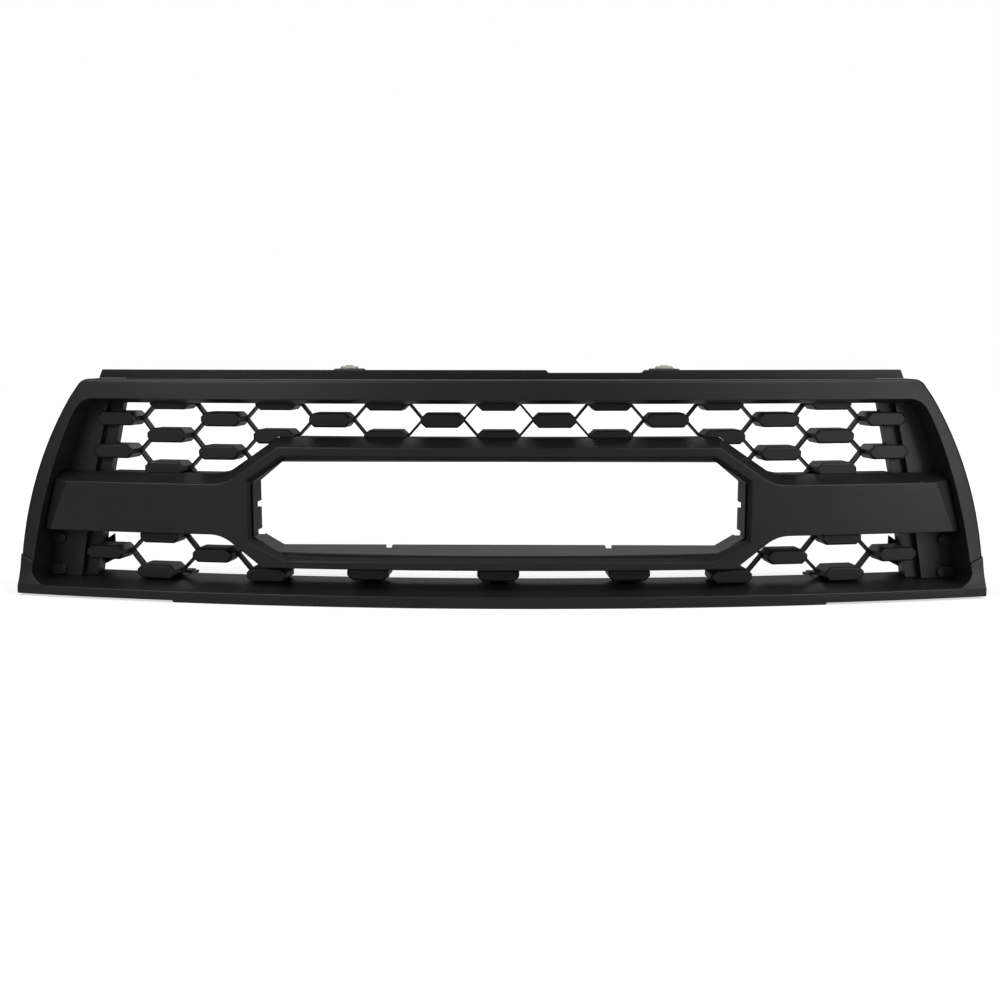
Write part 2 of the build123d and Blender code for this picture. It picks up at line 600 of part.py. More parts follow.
under_shelf = swept([(SILL_FRONT_Y + 1, FOOT_Z), (SILL_FRONT_Y + 1, RIDGE_Z - 1), (SHELF_CREASE_Y, CREASE_Z - 1),
                     (SHELF_BACK_Y - 6, SHELF_BACK_Z - 2), (SHELF_CREASE_Y, FOOT_Z)])
for x, _ in pairs(SILL_RIB_XS, 0):
    sill += along(x, Box(SILL_RIB, FAR, FAR)) & under_shelf
for x, _ in pairs(CLIP_TAB_XS, 0):
    tab = Box(CLIP_TAB_WIDTH, CLIP_TAB_LENGTH + 1, WALL)
    sill += along(x, Pos(0, SHELF_BACK_Y + (CLIP_TAB_LENGTH - 1) / 2, SHELF_BACK_Z - WALL / 2) * tab)


# ---- Centre bar: crossbar and ring in one moulding ----
def bar_block(grow, front, back):
    """Crossbar and ring with their flared outer walls."""
    block = prism(bar_outline(grow)) & slab(front, back)
    for side, flare in ((1, FLARE_IN), (-1, LOWER_FLARE_IN)):
        face = foremost(block)
        edges = [edge for edge in face.edges()
                 if side * (edge @ 0.5).Z > 0 and abs((edge @ 0.5).X) < BAR_END_TOP + grow - 1]
        block = chamfer(edges, flare, FLARE_DEEP, reference=face)
    return block


def end_wedge(shift=0.0):
    """Both sloping end bevels of the crossbar, moved inwards by a shift."""
    top_x, foot_x = BAR_END_TOP - END_BEVEL_IN, BAR_END_BOTTOM - END_BEVEL_IN
    lean = degrees(atan2(foot_x - top_x, BAR_TOP_Z - BAR_BOTTOM_Z))
    slope = degrees(atan2(END_BEVEL_DEEP, END_BEVEL_IN))
    middle_x, middle_z = (top_x + foot_x) / 2, (BAR_TOP_Z + BAR_BOTTOM_Z) / 2
    half_height = BAR_TOP_Z - BAR_BOTTOM_Z
    wedge = Pos(FAR / 10 - 20, -FAR / 20 + shift, 0) * Box(FAR / 5, FAR / 10, 2 * half_height)
    return both_sides(Pos(middle_x, bow(middle_x), middle_z) * Rot(0, -lean, 0) * Rot(0, 0, slope) * wedge)


def liner_tube(grow):
    """Drafted space inside the liner, grown outwards."""
    rear = Plane(origin=(0, LINER_BACK_Y, 0), x_dir=(1, 0, 0), z_dir=(0, -1, 0)) * liner_outline(grow)
    return extrude(rear, LINER_BACK_Y + LIP_BEVEL_DEEP, taper=-LINER_DRAFT)


bar = bar_block(0.0, 0.0, BAR_DEPTH)
cavity = bar_block(-WALL, WALL, BAR_DEPTH + 2 * FLARE_DEEP) - end_wedge(WALL)
bar -= cavity - (prism(opening_outline(WALL)) & slab(0, LINER_FRONT_Y))
bar -= prism(opening_outline(-LIP_BEVEL_IN))
lip_face = foremost(bar)
bar = chamfer(lip_face.inner_wires()[0].edges(), LIP_BEVEL_IN, LIP_BEVEL_DEEP, reference=lip_face)
bar -= end_wedge()
bar_half = boundary(BAR_TOP_Z) - 2.0
bar &= symmetric((bar_half, RING_TOP_Z + 2), (bar_half, RING_BOTTOM_Z - 2)) + before_panel
for x, z in LINER_SCREW_PLACES:
    boss_y = bow(x) + (LIP_BEVEL_DEEP if z < OPENING_BOTTOM_Z else WALL / 2)
    boss = rod(x, boss_y, z, LINER_BOSS_RADIUS, LINER_BACK_Y - boss_y)
    bar += boss - liner_tube(LINER_WALL + CLEARANCE)
bar = bar.fuse(*[straight_boss(x, z, WALL / 2, LEG_BACK_Y) & before_panel for x, z in BAR_SCREW_PLACES])
spacer_boss_spot = Pos(0, SPACER_SCREW_Y, SPACER_BOSS_Z)
for x in SPACER_XS:
    bar += along(x, spacer_boss_spot * Cylinder(SPACER_BOSS_RADIUS, SPACER_BOSS_HEIGHT))

# ---- Liner behind the emblem opening ----
liner = (liner_tube(LINER_WALL) - liner_tube(0.0)) & slab(LINER_FRONT_Y + CLEARANCE, FAR / 5)
flange_outline = octagon(LINER_HALF + LINER_FLANGE_REACH, RING_TOP_Z - LINER_FLANGE_INSET,
                         RING_BOTTOM_Z + LINER_FLANGE_INSET, LINER_CORNER_X + WALL + 5,
                         LINER_CORNER_TOP + WALL + 5, LINER_CORNER_BOTTOM + WALL)
flange = Pos(0, LINER_BACK_Y, 0) * extrude(Plane.XZ * flange_outline, -LINER_FLANGE)
liner += (flange - prism(liner_outline())) & prism(bar_outline(-WALL - CLEARANCE))
floor_notch = Box(LINER_NOTCH_WIDTH, 2 * LINER_NOTCH_DEPTH, 4 * WALL)
side_notch = Box(4 * WALL, 2 * LINER_NOTCH_DEPTH, LINER_NOTCH_WIDTH)
for side in (-1, 1):
    liner -= Pos(side * LINER_NOTCH_X, LINER_BACK_Y, LINER_BOTTOM_Z - WALL) * floor_notch
    for z in (LINER_NOTCH_Z, LINER_BOTTOM_Z + LINER_CORNER_BOTTOM):
        liner -= Pos(side * (LINER_HALF + WALL), LINER_BACK_Y, z) * side_notch
boss_relief = Box(2 * (SPACER_BOSS_RADIUS + CLEARANCE), FAR / 5, SPACER_BOSS_HEIGHT + 2 * CLEARANCE)
for x in SPACER_XS:
    liner -= along(x, spacer_boss_spot * boss_relief)

# ---- Lattice ----
PAD_OUTLINE = polygon(*mirrored([
    (PAD_WIDTH / 2 - PAD_CUT, PAD_HEIGHT / 2), (PAD_WIDTH / 2, PAD_TIP / 2), (PAD_WIDTH / 2, -PAD_TIP / 2),
    (PAD_WIDTH / 2 - PAD_CUT, -PAD_HEIGHT / 2)]))


def row_pitch(z):
    return PITCH - PITCH_FAN * z


def pad(z, hollow=True):
    """One pad at X = 0, open behind where nothing covers it."""
    front = PAD_FRONT_Y + PAD_LEAN * z
    body = Pos(0, front, z) * extrude(Plane.XZ * PAD_OUTLINE, -PAD_DEPTH)
    body = chamfer(foremost(body).edges(), PAD_BEVEL)
    if hollow:
        body -= Pos(0, front + WALL, z) * extrude(Plane.XZ * offset(PAD_OUTLINE, -PAD_WALL), -FAR / 10)
    return body


def web(x0, z0, x1, z1):
    """Thin web between the facing tips of two pads."""
    middle_z = (z0 + z1) / 2
    middle_y = PAD_FRONT_Y + PAD_LEAN * middle_z + PAD_DEPTH - WEB_DEPTH / 2
    reach = abs(x1 - x0) * (SWEEP_RADIUS - middle_y) / (SWEEP_RADIUS - PAD_FRONT_Y) - PAD_WIDTH + 1.0
    rise = (z1 - z0) * (1 if x1 > x0 else -1)
    bar_of_web = Box(hypot(reach, rise) + 2.0, WEB_DEPTH, WEB_THICKNESS)
    placed = Pos(0, middle_y, middle_z) * Rot(0, -degrees(atan2(rise, reach)), 0) * bar_of_web
    return along((x0 + x1) / 2, placed, PAD_FRONT_Y)


def row_sites(index, z, reach):
    """X of every pad of a row, both ways from the middle."""
    pitch = row_pitch(z)
    start = 0.0 if index % 2 == 0 else pitch / 2
    xs = [start + pitch * i for i in range(ceil(reach / pitch) + 1) if start + pitch * i <= reach]
    return sorted({round(side * x, 6) for x in xs for side in (-1, 1)})


def hidden(x, z):
    """True where the crossbar or the ring covers a pad."""
    ax = abs(x)
    if BAR_BOTTOM_Z + 2 < z < BAR_TOP_Z - 2:
        return True
    shoulder_reach = RING_HALF + (RING_TOP_Z - z) / tan(radians(SHOULDER_ANGLE)) - 6
    haunch_reach = RING_HALF + RING_FOOT_GAIN + z - RING_BOTTOM_Z - 9
    upper = 0 < z < RING_TOP_Z - 4 and ax < shoulder_reach
    return upper or (RING_BOTTOM_Z + 7 < z < 0 and ax < haunch_reach)


def lattice(rows, inner=0.0):
    """Pads and webs of a set of rows; webs also reach towards covered sites."""
    pieces = []
    sites = [(z, row_sites(i, z, boundary(z) + PAD_WIDTH / 2)) for i, z in rows]
    for z, xs in sites:
        shown = [x for x in xs if not hidden(x, z) and abs(x) >= inner]
        pieces += [along(x, pad(z, abs(x) < boundary(z) - STRIP_WIDTH), PAD_FRONT_Y) for x in shown]
    for (z, xs), (z2, xs2) in zip(sites, sites[1:]):
        for x in xs:
            for x2 in xs2:
                near = abs(abs(x2 - x) - row_pitch(z) / 2) < row_pitch(z) * 0.1
                seen = not (hidden(x, z) and hidden(x2, z2)) and min(abs(x), abs(x2)) >= inner
                if near and seen:
                    pieces.append(web(x, z, x2, z2))
    return pieces


around_bar = prism(bar_outline(CLEARANCE))
panel_zone = polygon((boundary(TOP_Z), TOP_Z), (boundary(BAR_TOP_Z), BAR_TOP_Z), (boundary(FOOT_Z), FOOT_Z),
                     (HALF_WIDTH, FOOT_Z), (HALF_WIDTH, TOP_Z))
panel_zones = prism(panel_zone)
panel_zones = (panel_zones + mirror(panel_zones, Plane.YZ)) & leaning(PANEL_Y - CLEARANCE, FAR / 5)

UPPER_ROWS = [(i, ROW_TOP_Z - ROW_PITCH * i) for i in range(20) if ROW_TOP_Z - ROW_PITCH * i > BAR_TOP_Z - ROW_PITCH]
STRIP_TOP_Z = RAIL_FOOT_Z - 0.5
strip_half = LATTICE_TOP_HALF - 2.0
STRIP_BACK_Y = PAD_FRONT_Y + PAD_LEAN * ROW_TOP_Z + PAD_DEPTH + STRIP_BEHIND
strip = slab(UNDERSIDE_Y + 2, STRIP_BACK_Y, low=MOUTH_TOP_Z - UNDERSIDE_DROP + 0.5, high=STRIP_TOP_Z)
strip &= symmetric((strip_half, TOP_Z), (strip_half, 0))
tongue_y = MESH_SEAT - WALL / 2
tongues = [along(x, Pos(0, tongue_y, z - WALL) * Box(TONGUE_WIDTH, WALL, TONGUE_HEIGHT)) for x, z in MESH_SCREW_PLACES]
upper_mesh = strip.fuse(*lattice(UPPER_ROWS), *tongues)
below_strip = slab(-FAR / 8, FAR / 4, high=STRIP_TOP_Z) + slab(MESH_SEAT - WALL - 0.2, FAR / 4)
upper_mesh &= symmetric((HALF_WIDTH, TOP_Z), (HALF_WIDTH, BAR_TOP_Z - 1)) & below_strip
upper_mesh -= around_bar + panel_zones

LOWER_ROWS = [(i, LOWER_ROW_Z - LOWER_ROW_PITCH * i) for i in range(20)
              if LOWER_ROW_Z - LOWER_ROW_PITCH * i > SHELF_BACK_Z]
lower_pieces = lattice(LOWER_ROWS, inner=RING_HALF - BAR_END_GAP * 13)
lower_mesh = lower_pieces[0].fuse(*lower_pieces[1:])
lower_mesh &= over_shelf(CLEARANCE) & symmetric((HALF_WIDTH, BAR_BOTTOM_Z), (HALF_WIDTH, FOOT_Z))
lower_mesh -= around_bar + panel_zones

# ---- Spacer blocks between ring and sill ----
foot_box = Box(SPACER_FOOT_WIDTH, SPACER_FOOT_DEPTH, RING_BOTTOM_Z - CREASE_Z + 2 * WALL)
spacer = pad(SPACER_Z, hollow=False) + Pos(0, SPACER_SCREW_Y, (RING_BOTTOM_Z + CREASE_Z) / 2) * foot_box
spacers = [(along(x, spacer, PAD_FRONT_Y) & over_shelf(CLEARANCE)) - around_bar for x in SPACER_XS]
shelf_slope = (SHELF_BACK_Z - CREASE_Z) / (SHELF_BACK_Y - SHELF_CREASE_Y)
spacer_seat_z = CREASE_Z + shelf_slope * (SPACER_SCREW_Y - SHELF_CREASE_Y) - WALL - 1.0
spacer_seat = Pos(0, SPACER_SCREW_Y, spacer_seat_z)
spacer_screw = Rot(-90, 0, 0) * screw(0, 0, 0, SPACER_SCREW_LENGTH)
spacer_bore = Cylinder(SCREW_RADIUS + RUNNING_GAP, SPACER_SCREW_LENGTH + 12)
spacer_screws = [along(x, spacer_seat * Pos(0, 0, -RUNNING_GAP) * spacer_screw) for x in SPACER_XS]
spacer_holes = [along(x, spacer_seat * Pos(0, 0, SPACER_SCREW_LENGTH / 2 - 4) * spacer_bore) for x in SPACER_XS]
for x in SPACER_XS:
    sill += along(x, spacer_seat * Pos(0, 0, 2) * Cylinder(SCREW_HEAD_RADIUS + 1, 4)) - over_shelf(0)


# ---- End panels, with their stub pads, return walls and locating pins ----
def panel_area(inset):
    """Area of the right end panel, its inner side moved outwards by an inset."""
    side = [(boundary(z) + inset, z) for z in (PANEL_TOP_Z, BAR_TOP_Z, CREASE_Z)]
    outer = [(outer_edge(z) - 2 * WALL, z) for z in between(CREASE_Z, SHOULDER_Z - 10, 5)]
    return prism(polygon(*side, *outer, (outer_edge(SHOULDER_Z) - LEG_WIDTH - 1, PANEL_TOP_Z)))


panel = panel_area(STRIP_WIDTH) & leaning(PANEL_Y, PANEL_Y + PANEL_THICKNESS)
step_inset = STRIP_WIDTH + PANEL_THICKNESS
panel += (panel_area(0.0) - panel_area(step_inset)) & leaning(PANEL_STEP_Y, PANEL_STEP_Y + PANEL_THICKNESS)
panel += (panel_area(STRIP_WIDTH) - panel_area(step_inset)) & leaning(PANEL_Y, PANEL_STEP_Y + PANEL_THICKNESS)
panel += (panel_area(0.0) - panel_area(RETURN_WALL)) & leaning(PANEL_STEP_Y, FAR / 5) & slab(0, RETURN_BACK_Y)
stub_x = HALF_WIDTH - STUB_INSET
for low in (BAR_BOTTOM_Z - STUB_DROP - STUB_HEIGHT, CREASE_Z + STUB_RISE):
    high = low + STUB_HEIGHT
    stub = polygon((stub_x, low + STUB_CORNER), (stub_x + STUB_CORNER, low), (inner_edge(low) - STUB_END, low),
                   (inner_edge(high) - 1, high), (stub_x + STUB_CORNER, high), (stub_x, high - STUB_CORNER))
    panel += prism(stub) & leaning(PANEL_Y - STUB_PROUD, PANEL_Y + 1) & funnel(CLEARANCE)
for x, z in BAR_SCREW_PLACES + PANEL_SCREW_PLACES + SILL_SCREW_PLACES:
    if x > 0:
        seat = rod(x, face_y(x, PANEL_SEAT) - 16, z, BOSS_RADIUS + 0.5, 16)
        panel += seat & leaning(PANEL_Y, FAR / 5) & prism(surround_outline(-WALL - CLEARANCE))
locator_x = outer_edge(LOCATOR_Z) - LOCATOR_INSET
shoulder_y = face_y(locator_x, PANEL_Y + PANEL_THICKNESS) + PAD_LEAN * LOCATOR_Z + LOCATOR_SEAT_RISE
panel += rod(locator_x, shoulder_y - 2 * LOCATOR_SEAT_RISE, LOCATOR_Z, LOCATOR_SEAT, 2 * LOCATOR_SEAT_RISE)
panel += rod(locator_x, shoulder_y, LOCATOR_Z, LOCATOR_RADIUS, LOCATOR_LENGTH)
panel &= over_shelf(CLEARANCE)

# ---- Rear braces behind the lower openings ----
brace = prism(polygon((BRACE_X, SEAM_Z + 14), (BRACE_X + BRACE_WIDTH, SEAM_Z - 3),
                      (BRACE_X + BRACE_WIDTH, SEAM_Z - 25), (BRACE_X, SEAM_Z - 12)))
brace &= slab(BRACE_FRONT_Y, BRACE_FRONT_Y + BRACE_THICKNESS) & over_shelf(CLEARANCE)
for x, z in BRACE_SCREW_PLACES:
    brace += rod(x, face_y(x, BRACE_SEAT) - 4, z, BOSS_RADIUS, 4) & slab(BRACE_FRONT_Y, FAR / 5)
    panel += straight_boss(x, z, PANEL_STEP_Y + PAD_LEAN * z + PANEL_THICKNESS / 2, RETURN_BACK_Y)
brace = drilled(brace, brace_holes)
panel = drilled(panel, bar_holes, panel_holes, sill_holes, brace_holes)

# ---- Top rail: flange, ledge, tabs and fixing slots ----
foot_half = LATTICE_TOP_HALF - 0.5
rail_half = TOP_CORNER_X - RAIL_END_INSET
end_x = rail_half - RAIL_END_SLOPE * (RAIL_TOP_Z - TOP_Z)
rail_outline = polygon(*mirrored([(end_x, RAIL_TOP_Z), (rail_half, TOP_Z + CLEARANCE),
                                  (foot_half, TOP_Z + CLEARANCE), (foot_half, RAIL_FOOT_Z)]))
for side in (1, -1):
    rail_outline = rounded(rail_outline, side * end_x, RAIL_TOP_Z, RAIL_CORNER)
rail = prism(rail_outline) & slab(RAIL_Y + CLEARANCE, RAIL_BACK_Y)
rail -= prism(polygon((NOTCH_LEFT - NOTCH_SLOPE, RAIL_TOP_Z + 1), (NOTCH_LEFT, RAIL_TOP_Z - NOTCH_DEPTH),
                      (NOTCH_RIGHT, RAIL_TOP_Z - NOTCH_DEPTH), (NOTCH_RIGHT + NOTCH_SLOPE, RAIL_TOP_Z + 1)))
ledge_half = rail_half - LEDGE_END_INSET
ledge = slab(RAIL_BACK_Y - 1, LEDGE_BACK_Y, low=LEDGE_Z - LEDGE_THICKNESS, high=LEDGE_Z)
rail += ledge & symmetric((ledge_half, TOP_Z + FAR / 10), (ledge_half, 0))
gusset_xs = [x + COLUMN_PITCH / 2 for x in COLUMNS[:4] if x != COLUMNS[2]] + [LATTICE_TOP_HALF + 4.6]
for x, _ in pairs(gusset_xs, 0):
    gusset_foot = TOP_Z + 1 if abs(x) > foot_half else BOSS_Z - 3
    gusset = polygon((RAIL_BACK_Y - 1, gusset_foot), (RAIL_BACK_Y - 1, LEDGE_Z - 1),
                     (LEDGE_BACK_Y - LEDGE_END_INSET, LEDGE_Z - 1))
    rail += along(x, extrude(Plane.YZ * gusset, WALL * 0.4, both=True))
for x in TAB_XS:
    tab = Pos(0, RETAINER_Y, TAB_TOP_Z - GRIP / 2) * Box(TAB_WIDTH, TAB_DEPTH, GRIP)
    rail += along(x, chamfer(tab.faces().sort_by(Axis.Z)[-1].edges(), 1.0))
    rail -= along(x, Pos(0, RETAINER_Y, TAB_TOP_Z) * Cylinder(HOLE_RADIUS, FAR / 10))
for side in (-1, 1):
    slot = extrude(SlotOverall(SLOT_LENGTH, SLOT_WIDTH), FAR / 10, both=True)
    rail -= Pos(side * SLOT_X, SLOT_Y, LEDGE_Z) * slot

# ---- Push retainers: a split body and the centre pin that locks it ----
UPWARD = (Align.CENTER, Align.CENTER, Align.MIN)
DOWNWARD = (Align.CENTER, Align.CENTER, Align.MAX)


def retainer_body():
    head = Cylinder(HEAD_RADIUS, HEAD_HEIGHT, align=UPWARD)
    head = fillet(head.edges().group_by(Axis.Z)[-1], HEAD_ROUND)
    body = head + Cylinder(HOLE_RADIUS - RUNNING_GAP, GRIP, align=DOWNWARD)
    body += Cylinder(SHANK_RADIUS, GRIP + SHANK_LENGTH, align=DOWNWARD)
    body -= Cylinder(PIN_RADIUS + RUNNING_GAP, FAR / 2)
    slit = Pos(0, 0, -GRIP - SPLIT_START) * Box(SPLIT, 4 * HOLE_RADIUS, SHANK_LENGTH, align=DOWNWARD)
    return body - slit - Rot(0, 0, 90) * slit


def retainer_pin():
    cap_z = HEAD_HEIGHT + RUNNING_GAP
    cap = Pos(0, 0, cap_z) * Cylinder(PIN_CAP_RADIUS, PIN_CAP, align=UPWARD)
    cap = fillet(cap.edges().group_by(Axis.Z)[-1], PIN_CAP_ROUND)
    shaft_length = cap_z + PIN_CAP / 2 + GRIP + SHANK_LENGTH
    return cap + Pos(0, 0, cap_z + PIN_CAP / 2) * Cylinder(PIN_RADIUS, shaft_length, align=DOWNWARD)


def on_tab(x, piece):
    return along(x, Pos(0, RETAINER_Y, TAB_TOP_Z + RUNNING_GAP) * piece)


# ---- Spring clips on the sill's rear tabs ----
clip_room = WALL + 2 * CLIP_GAP
clip = Box(CLIP_WIDTH, CLIP_LENGTH, clip_room + 2 * CLIP_SHEET)
clip -= Pos(0, -CLIP_SHEET, 0) * Box(CLIP_WIDTH + 2, CLIP_LENGTH, clip_room)
barb = Box(CLIP_WIDTH - 6, CLIP_LENGTH - 4, CLIP_SHEET)
clip += Pos(0, 1.5, -clip_room / 2 - CLIP_SHEET - 1.9) * Rot(CLIP_BARB_ANGLE, 0, 0) * barb
clip_y = SHELF_BACK_Y + CLIP_TAB_LENGTH - CLIP_LENGTH / 2 + CLIP_SHEET + CLIP_GAP
clips = [along(x, Pos(0, clip_y, SHELF_BACK_Z - WALL / 2) * clip) for x, _ in pairs(CLIP_TAB_XS, 0)]

# ---- Write the nodes ----
os.makedirs("parts", exist_ok=True)
save("surround_arch", drilled(arch, rail_holes, mesh_holes, panel_holes))
save("lower_sill", drilled(sill, sill_holes, spacer_holes))
save("top_rail", drilled(rail, rail_holes, mesh_holes))
save("centre_bar", drilled(bar, bar_holes, liner_holes, spacer_holes))
save("emblem_liner", drilled(liner, liner_holes))
save("upper_mesh", drilled(upper_mesh, mesh_holes))
save("lower_mesh_left", *[mesh for mesh in lower_mesh.solids() if mesh.center().X < 0])
save("lower_mesh_right", *[mesh for mesh in lower_mesh.solids() if mesh.center().X > 0])
save("spacer_blocks", *[drilled(block, spacer_holes) for block in spacers])
for side_name, own_panel, own_brace in zip(("right", "left"), both_sides(panel), both_sides(brace)):
    save(f"end_panel_{side_name}", own_panel)
    save(f"rear_brace_{side_name}", own_brace)
for side_name, x in zip(("left", "right"), TAB_XS):
    save(f"retainer_body_{side_name}", on_tab(x, retainer_body()))
    save(f"retainer_pin_{side_name}", on_tab(x, retainer_pin()))
save("rail_screws", *rail_screws)
save("mesh_screws", *mesh_screws)
save("bar_screws", *bar_screws)
save("panel_screws", *panel_screws)
save("sill_screws", *sill_screws)
save("liner_screws", *liner_screws)
save("spacer_screws", *spacer_screws)
save("brace_screws", *[side for item in brace_screws for side in both_sides(item)])
save("sill_clips", *clips)
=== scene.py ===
from math import radians

import bpy
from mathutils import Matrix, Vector


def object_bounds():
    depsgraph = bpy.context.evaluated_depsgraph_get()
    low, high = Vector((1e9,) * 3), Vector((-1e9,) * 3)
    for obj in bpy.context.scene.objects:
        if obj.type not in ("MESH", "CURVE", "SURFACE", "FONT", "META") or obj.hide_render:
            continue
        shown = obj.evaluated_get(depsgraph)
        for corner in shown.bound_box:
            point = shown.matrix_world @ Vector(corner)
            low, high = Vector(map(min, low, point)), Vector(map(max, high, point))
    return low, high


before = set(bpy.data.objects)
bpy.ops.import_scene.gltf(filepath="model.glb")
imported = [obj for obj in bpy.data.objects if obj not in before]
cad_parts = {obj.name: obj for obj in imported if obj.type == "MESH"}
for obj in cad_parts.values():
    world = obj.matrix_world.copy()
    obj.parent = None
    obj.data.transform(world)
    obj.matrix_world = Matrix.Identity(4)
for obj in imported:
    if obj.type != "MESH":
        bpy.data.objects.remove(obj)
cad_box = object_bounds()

# Front grille in satin black moulded plastic. Sizes are in metres, in the record's frame.

MM = 0.001

# ---- Finishes ----
SATIN_BLACK = (0.0058, 0.0059, 0.0066, 1.0)
RAW_BLACK = (0.0085, 0.0082, 0.0082, 1.0)
NATURAL_NYLON = (0.42, 0.42, 0.39, 1.0)
ZINC = (0.44, 0.45, 0.46, 1.0)
SPRING_STEEL = (0.09, 0.09, 0.095, 1.0)


class Graph:
    """Adds and wires the nodes of one material or node group."""

    def __init__(self, tree):
        self.tree = tree

    def node(self, kind, **settings):
        made = self.tree.nodes.new(kind)
        for key, value in settings.items():
            setattr(made, key, value)
        return made

    def link(self, out_socket, in_socket):
        self.tree.links.new(out_socket, in_socket)

    def math(self, operation, first, second=None, clamp=False):
        made = self.node("ShaderNodeMath", operation=operation, use_clamp=clamp)
        for socket, value in zip(made.inputs, (first, second)):
            if hasattr(value, "links"):
                self.link(value, socket)
            elif value is not None:
                socket.default_value = value
        return made.outputs[0]

    def span(self, value, low, high, out_low, out_high):
        made = self.node("ShaderNodeMapRange")
        limits = {"From Min": low, "From Max": high, "To Min": out_low, "To Max": out_high}
        for name, number in limits.items():
            made.inputs[name].default_value = number
        self.link(value, made.inputs["Value"])
        return made.outputs["Result"]


def new_group(name, inputs, outputs):
    tree = bpy.data.node_groups.new(name, "ShaderNodeTree")
    for socket_name, kind, value in inputs:
        socket = tree.interface.new_socket(name=socket_name, in_out="INPUT", socket_type=kind)
        socket.default_value = value
    for socket_name, kind in outputs:
        tree.interface.new_socket(name=socket_name, in_out="OUTPUT", socket_type=kind)
    graph = Graph(tree)
    return tree, graph, graph.node("NodeGroupInput"), graph.node("NodeGroupOutput")


def make_mould_grain():
    """Spark-eroded grain of a mould: a fine height, and a slow drift of tone."""
    tree, graph, entry, leave = new_group(
        "mould_grain",
        [("Grain Size", "NodeSocketFloat", 1400.0), ("Drift Size", "NodeSocketFloat", 9.0)],
        [("Height", "NodeSocketFloat"), ("Drift", "NodeSocketFloat")])
    place = graph.node("ShaderNodeTexCoord").outputs["Object"]
    fine = graph.node("ShaderNodeTexNoise", noise_dimensions="3D")
    fine.inputs["Detail"].default_value = 3.0
    cells = graph.node("ShaderNodeTexVoronoi", feature="SMOOTH_F1")
    slow = graph.node("ShaderNodeTexNoise", noise_dimensions="3D")
    slow.inputs["Detail"].default_value = 4.0
    slow.inputs["Roughness"].default_value = 0.6
    for texture in (fine, cells, slow):
        graph.link(place, texture.inputs["Vector"])
    graph.link(entry.outputs["Grain Size"], fine.inputs["Scale"])
    graph.link(entry.outputs["Grain Size"], cells.inputs["Scale"])
    graph.link(entry.outputs["Drift Size"], slow.inputs["Scale"])
    height = graph.math("ADD", fine.outputs["Fac"], graph.math("MULTIPLY", cells.outputs["Distance"], 0.6))
    graph.link(height, leave.inputs["Height"])
    graph.link(slow.outputs["Fac"], leave.inputs["Drift"])
    return tree


def make_painted_edge_sheen():
    """Mask of outer edges, where the colour is painted lighter as a highlight."""
    tree, graph, entry, leave = new_group(
        "painted_edge_sheen",
        [("Amount", "NodeSocketFloat", 1.0), ("Patch Size", "NodeSocketFloat", 60.0)],
        [("Mask", "NodeSocketFloat")])
    point = graph.node("ShaderNodeNewGeometry").outputs["Pointiness"]
    ridge = graph.span(point, 0.505, 0.56, 0.0, 1.0)
    patches = graph.node("ShaderNodeTexNoise")
    patches.inputs["Detail"].default_value = 5.0
    graph.link(graph.node("ShaderNodeTexCoord").outputs["Object"], patches.inputs["Vector"])
    graph.link(entry.outputs["Patch Size"], patches.inputs["Scale"])
    broken = graph.math("MULTIPLY", ridge, graph.span(patches.outputs["Fac"], 0.3, 0.7, 0.5, 1.0))
    graph.link(graph.math("MULTIPLY", broken, entry.outputs["Amount"], clamp=True), leave.inputs["Mask"])
    return tree


MOULD_GRAIN = make_mould_grain()
PAINTED_EDGE_SHEEN = make_painted_edge_sheen()


def mix_colour(graph, factor, first, second):
    mix = graph.node("ShaderNodeMix", data_type="RGBA")
    graph.link(factor, mix.inputs["Factor"])
    for socket, value in ((mix.inputs["A"], first), (mix.inputs["B"], second)):
        if hasattr(value, "links"):
            graph.link(value, socket)
        else:
            socket.default_value = value
    return mix.outputs["Result"]


def moulded_plastic(name, colour, roughness, grain_depth, grain_size=1400.0, lift=1.5, sheen_amount=1.0, shine=0.4):
    """Moulded plastic with a fine grain, a slow drift of tone, edges painted lighter as a highlight and edges
    made a little glossier.
    """
    material = bpy.data.materials.new(name)
    material.use_nodes = True
    graph = Graph(material.node_tree)
    shader = material.node_tree.nodes["Principled BSDF"]
    grain = graph.node("ShaderNodeGroup", node_tree=MOULD_GRAIN)
    grain.inputs["Grain Size"].default_value = grain_size
    edges = graph.node("ShaderNodeGroup", node_tree=PAINTED_EDGE_SHEEN)
    edges.inputs["Amount"].default_value = sheen_amount
    lighter = tuple(min(1.0, part * lift) for part in colour[:3]) + (1.0,)
    body = mix_colour(graph, graph.span(grain.outputs["Drift"], 0.3, 0.7, 0.0, 0.6), colour, lighter)
    # painted highlight: the edge colour is lifted to stand in for light catching the rounded edges
    sheen_colour = tuple(min(1.0, part * lift * 1.9) for part in colour[:3]) + (1.0,)
    graph.link(mix_colour(graph, edges.outputs["Mask"], body, sheen_colour), shader.inputs["Base Color"])
    rough = graph.span(grain.outputs["Drift"], 0.3, 0.7, roughness - 0.03, roughness + 0.04)
    rough = graph.math("SUBTRACT", rough, graph.math("MULTIPLY", edges.outputs["Mask"], 0.1))
    graph.link(rough, shader.inputs["Roughness"])
    bump = graph.node("ShaderNodeBump")
    bump.inputs["Strength"].default_value = 1.0
    bump.inputs["Distance"].default_value = grain_depth
    graph.link(grain.outputs["Height"], bump.inputs["Height"])
    graph.link(bump.outputs["Normal"], shader.inputs["Normal"])
    shader.inputs["Specular IOR Level"].default_value = shine
    return material


